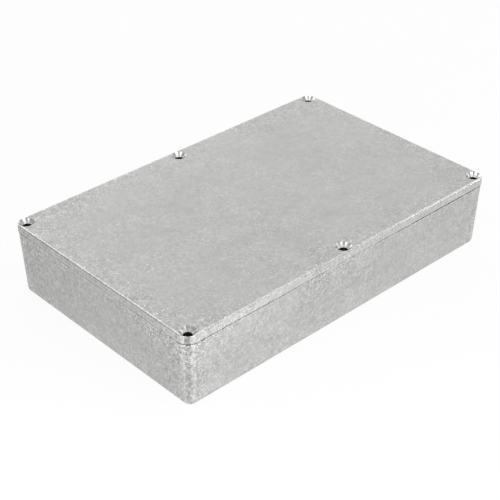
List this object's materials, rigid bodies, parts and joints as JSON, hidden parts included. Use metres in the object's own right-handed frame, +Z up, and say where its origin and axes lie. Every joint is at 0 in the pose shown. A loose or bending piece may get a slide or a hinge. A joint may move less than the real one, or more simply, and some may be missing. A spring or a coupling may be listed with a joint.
{
  "type": "guitar pedal enclosure",
  "caption": "Shallow die-cast aluminium box with drafted walls, inner screw bosses and a lap-jointed lid with countersunk holes, for housing guitar pedal circuits.",
  "frame": {"origin": "middle of the closed end's outer face, which the box stands on", "axes": "+X along the long side, +Y across the short side, +Z up through the lid"},
  "size_m": [0.188, 0.1194, 0.037],
  "materials": {
    "cast_aluminium": "raw die-cast, tumbled matte grey with fine bright specks"
  },
  "bodies": {
    "root": {"box": "cast_aluminium", "lid": "cast_aluminium"}
  },
  "joints": []
}
